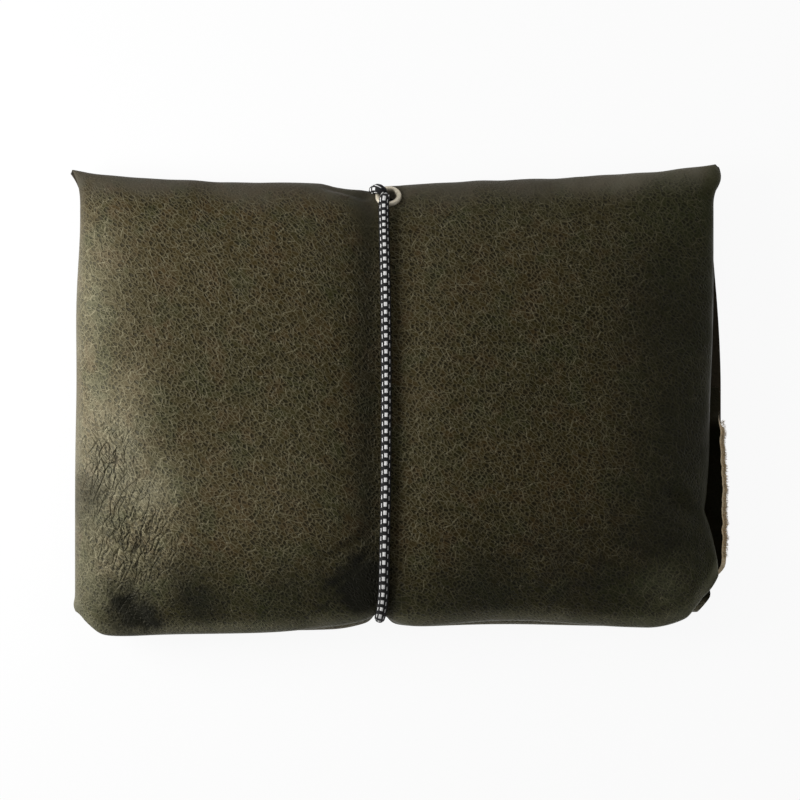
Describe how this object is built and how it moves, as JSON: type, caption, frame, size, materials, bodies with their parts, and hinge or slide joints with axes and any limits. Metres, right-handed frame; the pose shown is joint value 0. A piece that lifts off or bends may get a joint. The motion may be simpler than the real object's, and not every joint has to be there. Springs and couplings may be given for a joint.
{
  "type": "needle case",
  "caption": "Soft leather needle case with a padded flap folded over stitched needle channels, held shut by an elastic loop from a metal eyelet at the top edge.",
  "frame": {"origin": "centre of the closed case's box, on the table under its back", "axes": "+X to the right along the case, +Y up the closed front towards the top fold, +Z off the table out of the front"},
  "size_m": [0.23, 0.166, 0.0295],
  "materials": {
    "leather": "pebbled olive brown hide",
    "lining": "suede",
    "wadding": "loose felted fibre",
    "thread": "waxed sewing thread",
    "metal": "pale nickel",
    "elastic": "black braid with white checks"
  },
  "bodies": {
    "back": {"back_panel": "leather", "bottom_fold": "leather", "pocket_panel_left": "leather", "pocket_panel_right": "leather", "pocket_seam_1": "thread", "pocket_seam_2": "thread", "pocket_seam_3": "thread", "pocket_seam_4": "thread", "pocket_seam_5": "thread", "pocket_seam_6": "thread", "pocket_seam_7": "thread", "pocket_seam_8": "thread", "pocket_seam_9": "thread", "pocket_seam_10": "thread"},
    "front_flap": {"front_panel": "leather", "top_fold": "leather", "front_wadding": "wadding", "front_lining": "lining", "flap_seam": "thread", "eyelet": "metal", "eyelet_washer": "metal", "elastic_knot": "elastic"},
    "elastic": {"elastic_loop": "elastic"}
  },
  "joints": [
    {"name": "flap_hinge", "type": "hinge", "parent": "back", "child": "front_flap", "pos_m": [0, 0.08, 0.013], "axis": [-1, 0, 0], "range_deg": [0, 175], "deforming": ["top_fold", "elastic_loop"]},
    {"name": "elastic_swing", "type": "hinge", "parent": "back", "child": "elastic", "pos_m": [-0.005, 0.0802, 0.013], "axis": [0, 0, 1], "range_deg": [0, 180], "deforming": ["elastic_loop"]}
  ],
  "couplings": [
    {"joint": "elastic_swing", "follows": "flap_hinge", "ratio": 1.028}
  ]
}
